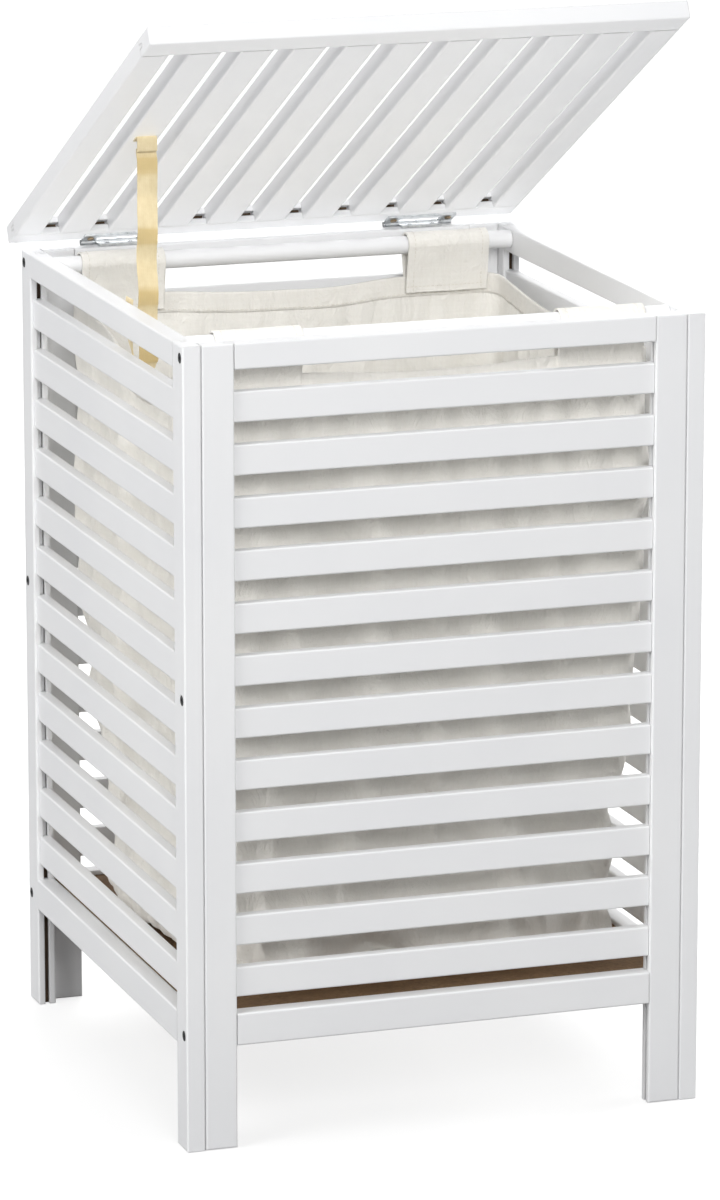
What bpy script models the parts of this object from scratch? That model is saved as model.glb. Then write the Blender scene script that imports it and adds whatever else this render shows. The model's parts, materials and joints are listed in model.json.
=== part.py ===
"""Slatted wooden laundry hamper with a hinged slatted lid, a strap stay and a hung fabric liner.

X is the width, -Y the front, +Z up, in metres. The lid is modelled partly open, as it stands at rest.
Four flat frames make the body: the two side frames run the full depth, and the front and back
frames sit between them and are screwed on through the side frames.
"""
import math

import bmesh
import bpy
from mathutils import Matrix, Vector

# ---- driving dimensions -------------------------------------------------------------------------
WIDTH = 0.427
DEPTH = 0.442
HEIGHT = 0.640
GAP = 0.0003                    # clearance left between touching pieces

STOCK_T = 0.015                 # thickness of stiles and rails
STILE_W = 0.026
EASE = 0.0012                   # rounding of the sticks' long edges
EASE_STEPS = 2
TOP_RAIL_H = 0.0205
BOTTOM_RAIL_H = 0.026
BOTTOM_RAIL_Z = 0.0830          # underside of the bottom rails

GROOVE_W = 0.004                # groove along the inner edge of each stile
GROOVE_D = 0.0063
TONGUE_T = GROOVE_W - 2 * GAP
TONGUE_L = GROOVE_D - GAP
WEB_L = 0.0018                  # strip at the bottom of the groove that spaces the slats
WEB_EASE = 0.0002               # the strip is this much slimmer than the tongues

SLAT_COUNT = 12
SLAT_H = 0.024
SLAT_T = 0.010
SLAT_PITCH = 0.04146

BOARD_T = 0.003
BOARD_Z = 0.1020
BOARD_INSET = 0.005             # how far the base board enters the rails

ROD_R = 0.0075
ROD_FROM_FACE = 0.0427          # rod axis to the outer face of the front or back frame
ROD_Z = 0.6320

BAG_X = 0.189                   # half width of the liner
BAG_CORNER = 0.0110             # radius of its upright corners
BAG_TOP = 0.580
BAG_T = 0.0025
TAB_W = 0.072
TAB_X = 0.141                   # tab centre from the middle
TAB_T = 0.0015
TAB_END_Z = 0.597
TAB_LAP = 0.006                 # how far a tab's outer leg reaches down into the wall

SCREW_Z = (0.093, 0.362, 0.630)
SCREW_LENGTH = 0.033
SCREW_HEAD_R = 0.0040
SCREW_SHANK_R = 0.0022
SCREW_HEAD_RIM = 0.0006         # straight edge of the head above its cone
SOCKET_R = 0.0016
SOCKET_DEPTH = 0.0020

LID_WIDTH = 0.439
LID_LENGTH = 0.455
LID_T = 0.015
LID_SHIFT = -0.004              # the lid is hung this far to the left of the body's middle
LID_REAR_RAIL = 0.020
LID_FRONT_RAIL = 0.026
LID_SLATS = 9
LID_SLAT_W = 0.026
LID_SLOT = 0.016
LID_OPEN = math.radians(28.9)   # how far the lid stands open at rest
LID_LIFT = 0.0035               # underside of the closed lid above the frames

HINGE_X = 0.132
HINGE_W = 0.060
HINGE_LEAF_D = 0.0165
HINGE_LEAF_T = 0.0018
HINGE_CUT_W = 0.036
HINGE_CUT_D = 0.0120
BARREL_R = 0.0025
PIN_R = 0.0011
PIN_BACK = BARREL_R + GAP       # pin axis behind the back face
PIN_Z = HEIGHT + 0.0018
LEAF_SCREW_IN = 0.0075          # screw axis in front of the lid's rear edge
LEAF_SCREW_HEAD_R = 0.0029
LEAF_SCREW_CROWN_R = 0.0024
LEAF_SCREW_HEAD_H = 0.0009
LEAF_SCREW_SHANK_R = 0.0015
LEAF_SCREW_LENGTH = 0.0095
LEAF_SCREW_TIP = 0.0010
LEAF_HOLE_R = 0.0018
CUT_OVER = 0.002                # how far cutters reach past what they cut

STRAP_W = 0.020
STRAP_T = 0.0012
STRAP_TOP = ((0.234, -0.0012), (0.250, -0.0016))    # on the lid slat: reach, height above underside
# the hanging part: sideways from the slat, back from the strap's plane, height, turn of the width
STRAP_HANG = (
    (0.000, 0.004, 0.752, 0.0),
    (0.000, 0.001, 0.720, 0.0),
    (0.000, 0.000, 0.680, 0.0),
    (0.000, 0.000, 0.640, 0.0),
    (-0.001, 0.000, 0.612, 0.0),
    (-0.004, -0.003, 0.595, 0.2),
    (-0.010, -0.010, 0.586, 0.5),
    (-0.017, -0.018, 0.588, 1.0),
)
# the end fixed to the side rail: off the wall, back from the fixing, height, turn of the width
STRAP_END = (
    (0.006, 0.004, 0.600, 2.0),
    (0.001, 0.000, 0.616, 10.0),
    (0.000, 0.000, 0.637, 100.0),
)
STRAP_HANG_Y = 0.002            # the hanging part's plane, back from the middle of the depth
STRAP_END_Y = -0.029

ROUND_STEPS = 16

# the lid's rear top corner reaches past the back face when open: the origin is the middle of it all
CORNER_Y = PIN_BACK * math.cos(LID_OPEN)
CORNER_Z = (HEIGHT + LID_LIFT + LID_T - PIN_Z) * math.sin(LID_OPEN)
REAR_REACH = DEPTH / 2 + PIN_BACK - CORNER_Y + CORNER_Z
Y_MID = -(REAR_REACH - DEPTH / 2) / 2


# ---- scene and materials ------------------------------------------------------------------------
def clear_scene():
    for obj in list(bpy.data.objects):
        bpy.data.objects.remove(obj, do_unlink=True)


def new_collection(name):
    collection = bpy.data.collections.new(name)
    bpy.context.scene.collection.children.link(collection)
    return collection


def material(name, colour, roughness, metallic=0.0):
    mat = bpy.data.materials.new(name)
    mat.use_nodes = True
    shader = mat.node_tree.nodes["Principled BSDF"]
    shader.inputs["Base Color"].default_value = (*colour, 1.0)
    shader.inputs["Roughness"].default_value = roughness
    shader.inputs["Metallic"].default_value = metallic
    return mat


def finish(obj, mat_args):
    """Give an object its own material, and close up the seams that its cuts leave."""
    if obj.modifiers:
        weld = obj.modifiers.new("close_seams", "WELD")
        weld.merge_threshold = 0.00002
    obj.data = obj.data.copy() if obj.data.users > 1 else obj.data
    obj.data.materials.clear()
    obj.data.materials.append(material(obj.name + "_finish", *mat_args))
    return obj


# ---- modelling helpers --------------------------------------------------------------------------
def object_from_bmesh(bm, name, collection):
    mesh = bpy.data.meshes.new(name)
    bm.normal_update()
    bm.to_mesh(mesh)
    bm.free()
    obj = bpy.data.objects.new(name, mesh)
    collection.objects.link(obj)
    return obj


def add_box(bm, low, high):
    size = [b - a for a, b in zip(low, high)]
    centre = [(a + b) / 2 for a, b in zip(low, high)]
    bmesh.ops.create_cube(bm, size=1.0, matrix=Matrix.Translation(centre) @ Matrix.Diagonal((*size, 1)))


def box(name, low, high, collection):
    bm = bmesh.new()
    add_box(bm, low, high)
    return object_from_bmesh(bm, name, collection)


def boxes(name, spans, collection):
    bm = bmesh.new()
    for low, high in spans:
        add_box(bm, low, high)
    return object_from_bmesh(bm, name, collection)


def cylinder(name, radius, length, matrix, collection, steps=ROUND_STEPS, radius_end=None):
    """A closed cylinder or cone along local Z, centred on the matrix's origin."""
    bm = bmesh.new()
    end = radius if radius_end is None else radius_end
    bmesh.ops.create_cone(
        bm, cap_ends=True, segments=steps, radius1=radius, radius2=end, depth=length, matrix=matrix
    )
    obj = object_from_bmesh(bm, name, collection)
    obj.data.shade_smooth()
    obj.data.set_sharp_from_angle(angle=math.radians(40))
    return obj


def edge_is_flat(edge):
    """True where an edge only splits a flat end face, whose triangles may be slivers."""
    ends = [vert.co.z for vert in edge.verts]
    if abs(ends[0] - ends[1]) > 1e-7:
        return False
    centres = [face.calc_center_median().z for face in edge.link_faces]
    return all(abs(z - ends[0]) < 1e-7 for z in centres)


def ease_edges(bm, all_round):
    """Round the edges of a stick's two broad faces, which lie across local Y."""
    face_y = max(vert.co.y for vert in bm.verts)
    picked = []
    for edge in bm.edges:
        a, b = (vert.co for vert in edge.verts)
        on_face = abs(abs(a.y) - face_y) < 1e-6 and abs(a.y - b.y) < 1e-6
        if on_face and (all_round or abs(a.z - b.z) < 1e-6):
            picked.append(edge)
    bmesh.ops.bevel(
        bm, geom=picked, offset=EASE, offset_type="OFFSET", segments=EASE_STEPS, profile=0.5, affect="EDGES"
    )


def prism(name, outline, half_depth, matrix, collection, eased=None):
    """Extrude a flat outline (local XY) both ways along local Z and make it a closed mesh.

    eased rounds the broad faces' edges: "long" only those along local X, "all" every one of them.
    """
    curve = bpy.data.curves.new(name, "CURVE")
    curve.dimensions = "2D"
    curve.fill_mode = "BOTH"
    curve.extrude = half_depth
    spline = curve.splines.new("POLY")
    spline.points.add(len(outline) - 1)
    for point, (x, y) in zip(spline.points, outline):
        point.co = (x, y, 0.0, 1.0)
    spline.use_cyclic_u = True
    source = bpy.data.objects.new(name + "_outline", curve)
    collection.objects.link(source)
    graph = bpy.context.evaluated_depsgraph_get()
    mesh = bpy.data.meshes.new_from_object(source.evaluated_get(graph))
    mesh.name = name
    bm = bmesh.new()
    bm.from_mesh(mesh)
    bmesh.ops.remove_doubles(bm, verts=bm.verts, dist=1e-6)
    flat = [edge for edge in bm.edges if edge_is_flat(edge)]
    bmesh.ops.dissolve_edges(bm, edges=flat, use_verts=False)
    bmesh.ops.recalc_face_normals(bm, faces=bm.faces)
    if eased:
        ease_edges(bm, eased == "all")
    bmesh.ops.transform(bm, matrix=matrix, verts=bm.verts)
    bm.to_mesh(mesh)
    bm.free()
    obj = bpy.data.objects.new(name, mesh)
    collection.objects.link(obj)
    bpy.data.objects.remove(source, do_unlink=True)
    return obj


def cut(obj, cutter, operation="DIFFERENCE"):
    """Boolean one object with another, kept out of sight among the cutters."""
    mod = obj.modifiers.new(cutter.name, "BOOLEAN")
    mod.operation = operation
    mod.object = cutter
    cutter.hide_render = True
    cutter.display_type = "WIRE"
    return mod


AXES_XY = Matrix.Identity(4)                                # outline in the plan, extruded along Z
AXES_YZ = Matrix(((0, 0, 1, 0), (1, 0, 0, 0), (0, 1, 0, 0), (0, 0, 0, 1)))  # outline Y,Z along X


# ---- outlines -----------------------------------------------------------------------------------
def grooved_outline(width, thickness):
    """A stick's section: its groove opens at +X, with the outer edge at -X."""
    w = width / 2
    t = thickness / 2
    g = GROOVE_W / 2
    return [(-w, -t), (w, -t), (w, -g), (w - GROOVE_D, -g), (w - GROOVE_D, g), (w, g), (w, t), (-w, t)]


def tongued_outline(half_length, thickness):
    """A rail or slat seen on edge: a tongue at each end fits the grooves."""
    t = thickness / 2
    g = TONGUE_T / 2
    end = half_length + TONGUE_L
    right = [(half_length, -t), (half_length, -g), (end, -g), (end, g), (half_length, g), (half_length, t)]
    left = [(-x, -y) for x, y in right]
    return right + left


# ---- body frames --------------------------------------------------------------------------------
def frame_place(side):
    """Where a frame stands: matrix from frame axes (X along it, -Y outward, Z up) and its half width."""
    if side in ("front", "back"):
        turn = 0.0 if side == "front" else math.pi
        half = WIDTH / 2 - STOCK_T - GAP
        out = DEPTH / 2
    else:
        turn = -math.pi / 2 if side == "left" else math.pi / 2
        half = DEPTH / 2
        out = WIDTH / 2
    place = Matrix.Translation((0, Y_MID, 0)) @ Matrix.Rotation(turn, 4, "Z")
    return place @ Matrix.Translation((0, -out + STOCK_T / 2, 0)), half


def screw_cutter(name, matrix, clearance, collection):
    """Countersunk hole, or the screw's own shape when the clearance is 0; local Z points outward."""
    head_h = SCREW_HEAD_R - SCREW_SHANK_R
    profile = [
        (0.0, clearance),
        (SCREW_HEAD_R + clearance, clearance),
        (SCREW_HEAD_R + clearance, -SCREW_HEAD_RIM),
        (SCREW_SHANK_R + clearance, -SCREW_HEAD_RIM - head_h),
        (SCREW_SHANK_R + clearance, -SCREW_LENGTH - clearance),
        (0.0, -SCREW_LENGTH - clearance),
    ]
    return turned(name, profile, matrix, collection)


def turned(name, profile, matrix, collection, steps=ROUND_STEPS):
    """Turn a closed profile (radius, height), listed top to bottom, about local Z."""
    bm = bmesh.new()
    verts = [bm.verts.new((r, 0.0, z)) for r, z in profile]
    edges = [bm.edges.new(pair) for pair in zip(verts, verts[1:])]
    bmesh.ops.spin(
        bm, geom=verts + edges, cent=(0, 0, 0), axis=(0, 0, 1), angle=2 * math.pi, steps=steps
    )
    bmesh.ops.remove_doubles(bm, verts=bm.verts, dist=1e-6)
    bmesh.ops.recalc_face_normals(bm, faces=bm.faces)
    bmesh.ops.transform(bm, matrix=matrix, verts=bm.verts)
    obj = object_from_bmesh(bm, name, collection)
    obj.data.shade_smooth()
    obj.data.set_sharp_from_angle(angle=math.radians(35))
    return obj


def screw_spots(stile_side):
    """Outward matrices of the three corner screws of one side frame's stile, in world axes."""
    across, along = stile_side
    spots = []
    for z in SCREW_Z:
        x = across * WIDTH / 2
        y = Y_MID + along * (DEPTH / 2 - STOCK_T / 2)
        spots.append(Matrix.Translation((x, y, z)) @ Matrix.Rotation(across * math.pi / 2, 4, "Y"))
    return spots


def make_stile(name, place, half, end, parts):
    """One upright with its groove towards the middle of the frame; end is -1 or 1 along the frame."""
    outline = grooved_outline(STILE_W, STOCK_T)
    turn = Matrix.Rotation(0.0 if end < 0 else math.pi, 4, "Z")
    shift = Matrix.Translation((end * (half - STILE_W / 2), 0, HEIGHT / 2))
    return prism(name, outline, HEIGHT / 2, place @ shift @ turn, parts, eased="all")


def make_rail(name, place, half, z, height, parts):
    half_length = half - STILE_W - GAP
    outline = tongued_outline(half_length, STOCK_T)
    shift = Matrix.Translation((0, 0, z + height / 2))
    return prism(name, outline, height / 2, place @ shift, parts, eased="long")


def make_slats(name, place, half, parts, cutters):
    """Twelve slats with tongues, spaced by a thin web hidden at the bottom of each stile's groove."""
    half_length = half - STILE_W - GAP
    end = half_length + TONGUE_L - WEB_EASE
    g = TONGUE_T / 2 - WEB_EASE
    top_rail = HEIGHT - TOP_RAIL_H
    floors = [top_rail - SLAT_PITCH * (k + 1) for k in range(SLAT_COUNT)]
    low = floors[-1] + WEB_EASE
    high = floors[0] + SLAT_H - WEB_EASE
    slats = prism(name, tongued_outline(half_length, SLAT_T), SLAT_H / 2, AXES_XY, parts, eased="long")
    rows = bmesh.new()
    for floor in floors:
        copy = slats.data.copy()
        copy.transform(Matrix.Translation((0, 0, floor + SLAT_H / 2)))
        rows.from_mesh(copy)
        bpy.data.meshes.remove(copy)
    rows.to_mesh(slats.data)
    rows.free()
    spans = [((-end, -g, low), (-end + WEB_L, g, high)), ((end - WEB_L, -g, low), (end, g, high))]
    webs = boxes(name + "_webs", spans, cutters)
    for obj in (slats, webs):
        obj.data.transform(place)
    cut(slats, webs, "UNION")
    return slats


def board_groove(name, place, half, cutters):
    """Cutter for the groove that holds the base board, in a bottom rail's inner face."""
    inner = STOCK_T / 2 - BOARD_INSET - GAP
    low = (-half, inner, BOARD_Z - GAP)
    high = (half, STOCK_T, BOARD_Z + BOARD_T + GAP)
    cutter = box(name, low, high, cutters)
    cutter.data.transform(place)
    return cutter


def make_frame(side, paint, parts, cutters):
    place, half = frame_place(side)
    ends = ("left", "right") if side in ("front", "back") else ("front", "back")
    if side in ("back", "left"):
        ends = ends[::-1]
    for end, word in zip((-1, 1), ends):
        stile = make_stile(f"{side}_stile_{word}", place, half, end, parts)
        words = {side, word}
        across = -1 if "left" in words else 1
        along = -1 if "front" in words else 1
        for n, spot in enumerate(screw_spots((across, along))):
            cut(stile, screw_cutter(f"{stile.name}_bore_{n + 1}", spot, GAP, cutters))
        finish(stile, paint)
    top = make_rail(f"{side}_rail_top", place, half, HEIGHT - TOP_RAIL_H, TOP_RAIL_H, parts)
    finish(top, paint)
    bottom = make_rail(f"{side}_rail_bottom", place, half, BOTTOM_RAIL_Z, BOTTOM_RAIL_H, parts)
    cut(bottom, board_groove(f"{side}_board_groove", place, half, cutters))
    finish(bottom, paint)
    finish(make_slats(f"{side}_slats", place, half, parts, cutters), paint)


def make_base_board(colour, parts):
    """Thin board let into the four bottom rails, notched round the stiles at its corners."""
    inner_x = WIDTH / 2 - STOCK_T
    inner_y = DEPTH / 2 - STOCK_T
    wide_x = inner_x + BOARD_INSET
    wide_y = inner_y + BOARD_INSET
    notch_x = WIDTH / 2 - STOCK_T - STILE_W - 2 * GAP
    notch_y = DEPTH / 2 - STILE_W - GAP
    near_x = inner_x - GAP
    near_y = inner_y - GAP
    corner = [(wide_x, notch_y), (near_x, notch_y), (near_x, near_y), (notch_x, near_y), (notch_x, wide_y)]
    mirrored = [(-x, y) for x, y in reversed(corner)]
    upper = corner + mirrored
    outline = upper + [(-x, -y) for x, y in upper]
    place = Matrix.Translation((0, Y_MID, BOARD_Z + BOARD_T / 2))
    finish(prism("base_board", outline, BOARD_T / 2, place, parts), colour)


def make_corner_screws(steel, parts, cutters):
    for across, across_word in ((-1, "left"), (1, "right")):
        for along, along_word in ((-1, "front"), (1, "back")):
            for n, spot in enumerate(screw_spots((across, along))):
                name = f"screw_{along_word}_{across_word}_{n + 1}"
                screw = screw_cutter(name, spot, 0.0, parts)
                socket = cylinder(name + "_socket", SOCKET_R, 2 * SOCKET_DEPTH, spot, cutters, steps=6)
                cut(screw, socket)
                finish(screw, steel)


# ---- liner, rods and strap ----------------------------------------------------------------------
def make_rods(paint, parts):
    length = WIDTH - 2 * STOCK_T - 2 * GAP
    for name, along in (("rod_front", -1), ("rod_back", 1)):
        y = Y_MID + along * (DEPTH / 2 - ROD_FROM_FACE)
        place = Matrix.Translation((0, y, ROD_Z)) @ Matrix.Rotation(math.pi / 2, 4, "Y")
        finish(cylinder(name, ROD_R, length, place, parts, steps=32), paint)


def arc_points(radius, start, end, steps):
    angles = [start + (end - start) * n / steps for n in range(steps + 1)]
    return [(radius * math.cos(a), radius * math.sin(a)) for a in angles]


def rounded_outline(half_x, half_y, radius, steps=4):
    """A rectangle with rounded corners, in order round its middle."""
    points = []
    for n, (across, along) in enumerate(((1, 1), (-1, 1), (-1, -1), (1, -1))):
        start = n * math.pi / 2
        centre = (across * (half_x - radius), along * (half_y - radius))
        arc = arc_points(radius, start, start + math.pi / 2, steps)
        points += [(centre[0] + x, centre[1] + y) for x, y in arc]
    return points


def tab_outline():
    """Section of a tab over its rod: the outer leg stands in the liner's wall, the inner leg hangs."""
    inner_r = ROD_R + 2 * GAP
    outer_r = inner_r + TAB_T
    inner_end = TAB_END_Z - ROD_Z
    outer_end = BAG_TOP - TAB_LAP - ROD_Z
    outside = [(-outer_r, inner_end)] + arc_points(outer_r, math.pi, 0.0, 12) + [(outer_r, outer_end)]
    inside = [(inner_r, outer_end)] + arc_points(inner_r, 0.0, math.pi, 12) + [(-inner_r, inner_end)]
    return outside + inside


def make_bag(cloth, parts, cutters):
    """Open liner on the base board, with four tabs wrapped over the rods."""
    floor = BOARD_Z + BOARD_T + 2 * GAP
    rod_y = DEPTH / 2 - ROD_FROM_FACE
    outer_y = rod_y + ROD_R + 2 * GAP + TAB_T
    outline = rounded_outline(BAG_X, outer_y, BAG_CORNER)
    place = Matrix.Translation((0, Y_MID, (floor + BAG_TOP) / 2))
    bag = prism("laundry_bag", outline, (BAG_TOP - floor) / 2, place, parts)
    inner = rounded_outline(BAG_X - BAG_T, outer_y - BAG_T, BAG_CORNER - BAG_T)
    raised = Matrix.Translation((0, Y_MID, (floor + BAG_TOP) / 2 + BAG_T))
    hollow = prism("bag_hollow", inner, (BAG_TOP - floor) / 2, raised, cutters)
    cut(bag, hollow)
    for along, word in ((-1, "front"), (1, "back")):
        for across, side in ((-1, "left"), (1, "right")):
            centre = Vector((across * TAB_X, Y_MID + along * rod_y, ROD_Z))
            facing = Matrix.Identity(4) if along > 0 else Matrix.Rotation(math.pi, 4, "Z")
            place = Matrix.Translation(centre) @ facing @ AXES_YZ
            tab = prism(f"bag_tab_{word}_{side}", tab_outline(), TAB_W / 2, place, cutters)
            cut(bag, tab, "UNION")
    finish(bag, cloth)


def lid_point(across, reach, height):
    """World place of a point on the open lid: reach from the rear edge, height above its underside."""
    y = -(reach + PIN_BACK)
    z = HEIGHT + LID_LIFT - PIN_Z + height
    c = math.cos(LID_OPEN)
    s = math.sin(LID_OPEN)
    return Vector((across, Y_MID + DEPTH / 2 + PIN_BACK + y * c + z * s, PIN_Z - y * s + z * c))


def strap_route():
    """Centre line and width direction of the slack strap, from the lid slat to the side rail."""
    slat_x = LID_SHIFT - slat_span() / 2 + LID_SLOT + LID_SLAT_W / 2
    wall = -WIDTH / 2 + STOCK_T + STRAP_T / 2 + GAP
    across = Vector((1, 0, 0))
    along = Vector((0, 1, 0))
    route = [(lid_point(slat_x, reach, height), across) for reach, height in STRAP_TOP]
    for x, y, z, turn in STRAP_HANG:
        route.append((Vector((slat_x + x, Y_MID + STRAP_HANG_Y + y, z)), across + turn * along))
    for x, y, z, turn in STRAP_END:
        route.append((Vector((wall + x, Y_MID + STRAP_END_Y + y, z)), across + turn * along))
    return route


def make_strap(webbing, parts):
    bm = bmesh.new()
    rows = []
    for centre, direction in strap_route():
        side = direction.normalized() * STRAP_W / 2
        rows.append((bm.verts.new(centre - side), bm.verts.new(centre + side)))
    for (a, b), (c, d) in zip(rows, rows[1:]):
        bm.faces.new((a, b, d, c))
    strap = object_from_bmesh(bm, "stay_strap", parts)
    thick = strap.modifiers.new("thickness", "SOLIDIFY")
    thick.thickness = STRAP_T
    thick.offset = 0.0
    finish(strap, webbing)


# ---- lid ----------------------------------------------------------------------------------------
def slat_span():
    return LID_SLATS * LID_SLAT_W + (LID_SLATS + 1) * LID_SLOT


def attach(obj, axis):
    obj.parent = axis


def make_lid(paint, axis, parts, cutters):
    """Two full-width rails with nine slats and two end stiles tongued in between them.

    Everything is laid out for the closed lid, relative to the hinge pin, then turned with the axis.
    """
    base_z = HEIGHT + LID_LIFT - PIN_Z
    rear = -PIN_BACK
    front = rear - LID_LENGTH
    mid_z = base_z + LID_T / 2
    section = AXES_YZ
    for name, edge, depth, flip in (
        ("lid_rail_rear", rear, LID_REAR_RAIL, True),
        ("lid_rail_front", front, LID_FRONT_RAIL, False),
    ):
        turn = Matrix.Rotation(math.pi if flip else 0.0, 4, "Z")
        middle = edge - depth / 2 if flip else edge + depth / 2
        place = Matrix.Translation((LID_SHIFT, middle, mid_z)) @ turn @ section
        rail = prism(name, grooved_outline(depth, LID_T), LID_WIDTH / 2, place, parts, eased="all")
        if flip:
            for n, spot in enumerate(hinge_screw_spots()):
                bore = turned(f"lid_bore_{n + 1}", hinge_screw_profile(GAP), spot, cutters)
                bore.parent = axis
                cut(rail, bore)
        attach(finish(rail, paint), axis)
    inner_rear = rear - LID_REAR_RAIL - GAP
    inner_front = front + LID_FRONT_RAIL + GAP
    half_length = (inner_rear - inner_front) / 2
    middle = (inner_rear + inner_front) / 2
    end_w = (LID_WIDTH - slat_span()) / 2
    pieces = [
        ("lid_stile_left", -LID_WIDTH / 2 + end_w / 2, end_w),
        ("lid_stile_right", LID_WIDTH / 2 - end_w / 2, end_w),
    ]
    for n in range(LID_SLATS):
        x = -slat_span() / 2 + LID_SLOT + LID_SLAT_W / 2 + n * (LID_SLAT_W + LID_SLOT)
        pieces.append((f"lid_slat_{n + 1}", x, LID_SLAT_W))
    for name, x, width in pieces:
        place = Matrix.Translation((LID_SHIFT + x, middle, mid_z)) @ section
        slat = prism(name, tongued_outline(half_length, LID_T), width / 2, place, parts, eased="long")
        attach(finish(slat, paint), axis)


# ---- hinges -------------------------------------------------------------------------------------
def hinge_screw_profile(clearance):
    """Pan-head screw from below: radius, height above the lid's underside, top to bottom."""
    seat = -HINGE_LEAF_T - 2 * GAP
    shank = LEAF_SCREW_SHANK_R + clearance
    head_low = seat - LEAF_SCREW_HEAD_H - clearance
    return [
        (0.0, LEAF_SCREW_LENGTH + clearance),
        (shank, LEAF_SCREW_LENGTH - LEAF_SCREW_TIP + clearance),
        (shank, seat + clearance),
        (LEAF_SCREW_HEAD_R + clearance, seat + clearance),
        (LEAF_SCREW_CROWN_R + clearance, head_low),
        (0.0, head_low),
    ]


def hinge_screw_spots():
    spots = []
    base_z = HEIGHT + LID_LIFT - PIN_Z
    for across in (-1, 1):
        for end in (-1, 1):
            x = across * HINGE_X + end * (HINGE_W + HINGE_CUT_W) / 4
            spots.append(Matrix.Translation((x, -PIN_BACK - LEAF_SCREW_IN, base_z)))
    return spots


def make_hinge(word, x, zinc, axis, parts, cutters):
    """A flush hinge: the outer leaf is on the lid and the inner leaf, on the back rail, fills its middle."""
    base_z = HEIGHT + LID_LIFT - PIN_Z
    along_x = Matrix.Rotation(math.pi / 2, 4, "Y")
    cut_half = HINGE_CUT_W / 2
    top = base_z - GAP
    low = top - HINGE_LEAF_T
    outer = box(
        f"hinge_{word}_outer_leaf", (x - HINGE_W / 2, -HINGE_LEAF_D, low), (x + HINGE_W / 2, 0, top), parts
    )
    window = box(
        f"hinge_{word}_window",
        (x - cut_half, -HINGE_CUT_D - PIN_BACK, low - CUT_OVER),
        (x + cut_half, BARREL_R + CUT_OVER, top + CUT_OVER),
        cutters,
    )
    ends = HINGE_W / 2 - cut_half
    for end in (-1, 1):
        spot = Matrix.Translation((x + end * (cut_half + ends / 2), 0, 0)) @ along_x
        barrel = cylinder(f"hinge_{word}_barrel_{end + 2}", BARREL_R, ends, spot, cutters)
        barrel.parent = axis
        cut(outer, barrel, "UNION")
    window.parent = axis
    cut(outer, window)
    pin_hole = Matrix.Translation((x, 0, 0)) @ along_x
    bore = cylinder(f"hinge_{word}_bore", PIN_R + GAP, 2 * HINGE_W, pin_hole, cutters)
    bore.parent = axis
    cut(outer, bore)
    for n, spot in enumerate(hinge_screw_spots()):
        hole = cylinder(f"hinge_{word}_hole_{n + 1}", LEAF_HOLE_R, 4 * (HINGE_LEAF_T + GAP), spot, cutters)
        hole.parent = axis
        cut(outer, hole)
    attach(finish(outer, zinc), axis)

    home = Matrix.Translation((0, Y_MID + DEPTH / 2 + PIN_BACK, PIN_Z))
    leaf_half = cut_half - GAP
    leaf_low = HEIGHT + GAP - PIN_Z
    inner = box(
        f"hinge_{word}_inner_leaf",
        (x - leaf_half, -HINGE_CUT_D - PIN_BACK + GAP, leaf_low),
        (x + leaf_half, 0, leaf_low + HINGE_LEAF_T),
        parts,
    )
    barrel = cylinder(f"hinge_{word}_mid_barrel", BARREL_R, 2 * leaf_half, pin_hole, cutters)
    inner_bore = cylinder(f"hinge_{word}_mid_bore", PIN_R + GAP, 2 * HINGE_W, pin_hole, cutters)
    for obj in (inner, barrel, inner_bore):
        obj.data.transform(home)
    cut(inner, barrel, "UNION")
    cut(inner, inner_bore)
    finish(inner, zinc)
    pin = cylinder(f"hinge_{word}_pin", PIN_R, HINGE_W, pin_hole, parts)
    pin.data.transform(home)
    finish(pin, zinc)


def make_hinge_screws(brown, axis, parts):
    names = ("hinge_screw_left_1", "hinge_screw_left_2", "hinge_screw_right_1", "hinge_screw_right_2")
    for name, spot in zip(names, hinge_screw_spots()):
        screw = turned(name, hinge_screw_profile(0.0), spot, parts)
        attach(finish(screw, brown), axis)


# ---- the model ----------------------------------------------------------------------------------
def make_lid_axis(parts):
    axis = bpy.data.objects.new("lid_axis", None)
    parts.objects.link(axis)
    axis.location = (0, Y_MID + DEPTH / 2 + PIN_BACK, PIN_Z)
    axis.rotation_euler = (-LID_OPEN, 0, 0)
    return axis


def centre_lid():
    """Move everything sideways: the lid overhangs both sides, so its middle is the model's middle."""
    for obj in bpy.data.objects:
        if obj.parent is None:
            obj.location.x -= LID_SHIFT


def main():
    clear_scene()
    parts = new_collection("laundry_hamper")
    cutters = new_collection("cutters")
    paint = ((0.86, 0.86, 0.87), 0.42)
    board = ((0.24, 0.13, 0.06), 0.75)
    steel = ((0.10, 0.10, 0.10), 0.40, 0.9)
    zinc = ((0.62, 0.64, 0.64), 0.30, 1.0)
    brown = ((0.25, 0.20, 0.15), 0.45, 0.8)
    cloth = ((0.84, 0.80, 0.72), 0.95)
    webbing = ((0.80, 0.62, 0.30), 0.85)
    for side in ("front", "back", "left", "right"):
        make_frame(side, paint, parts, cutters)
    make_base_board(board, parts)
    make_corner_screws(steel, parts, cutters)
    make_rods(paint, parts)
    make_bag(cloth, parts, cutters)
    axis = make_lid_axis(parts)
    make_lid(paint, axis, parts, cutters)
    for word, across in (("left", -1), ("right", 1)):
        make_hinge(word, across * HINGE_X, zinc, axis, parts, cutters)
    make_hinge_screws(brown, axis, parts)
    make_strap(webbing, parts)
    centre_lid()
    bpy.context.view_layer.update()


main()
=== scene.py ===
"""Looks of the slatted laundry hamper: painted wood, hardboard, a hung cotton liner, webbing and hinges.

All lengths are in metres. Z is up, the front of the hamper faces -Y and its left side faces -X.
"""
import bisect
import json
import math

import bmesh
import bpy
from mathutils import Matrix, Vector, noise

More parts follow.
